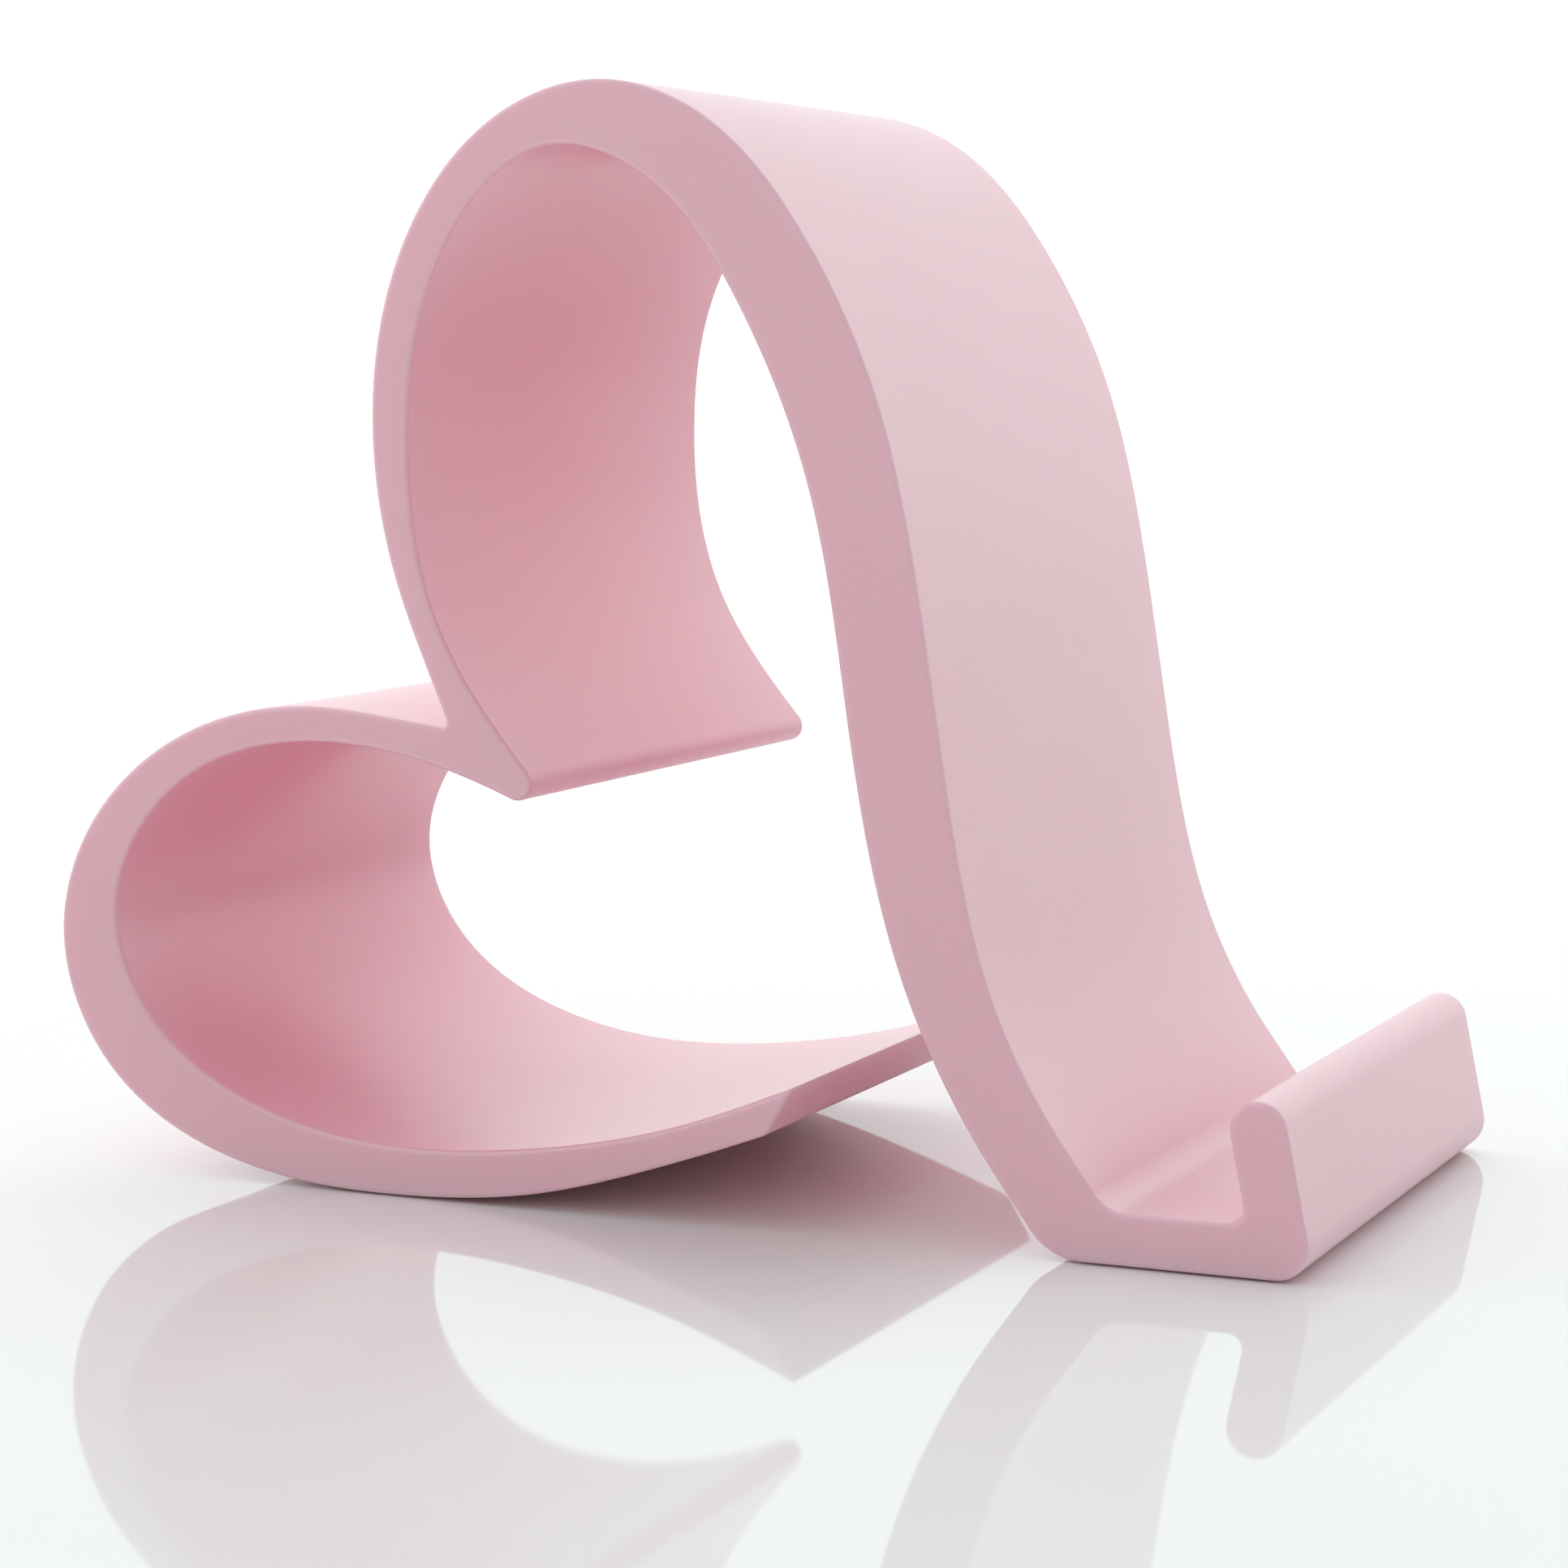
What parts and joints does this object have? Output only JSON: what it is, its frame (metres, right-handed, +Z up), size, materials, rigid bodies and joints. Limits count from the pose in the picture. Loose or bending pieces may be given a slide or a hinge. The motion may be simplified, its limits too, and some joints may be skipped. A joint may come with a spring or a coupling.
{
  "type": "phone stand",
  "caption": "Heart-shaped pink plastic phone stand made of a wide curled ribbon, with a leaning back rest, a tray and a lip, on soft non-slip pads.",
  "frame": {"origin": "centre of the bounding box's bottom face, on the surface that the stand rests on", "axes": "+Z up, +X from the lobes towards the lip, +Y across the ribbon"},
  "size_m": [0.1395, 0.07, 0.115],
  "materials": {
    "pink_plastic": "smooth satin pastel pink",
    "soft_pad": "soft pale silicone"
  },
  "bodies": {
    "root": {"heart_body": "pink_plastic", "front_left_pad": "soft_pad", "front_right_pad": "soft_pad", "rear_left_pad": "soft_pad", "rear_right_pad": "soft_pad"}
  },
  "joints": []
}
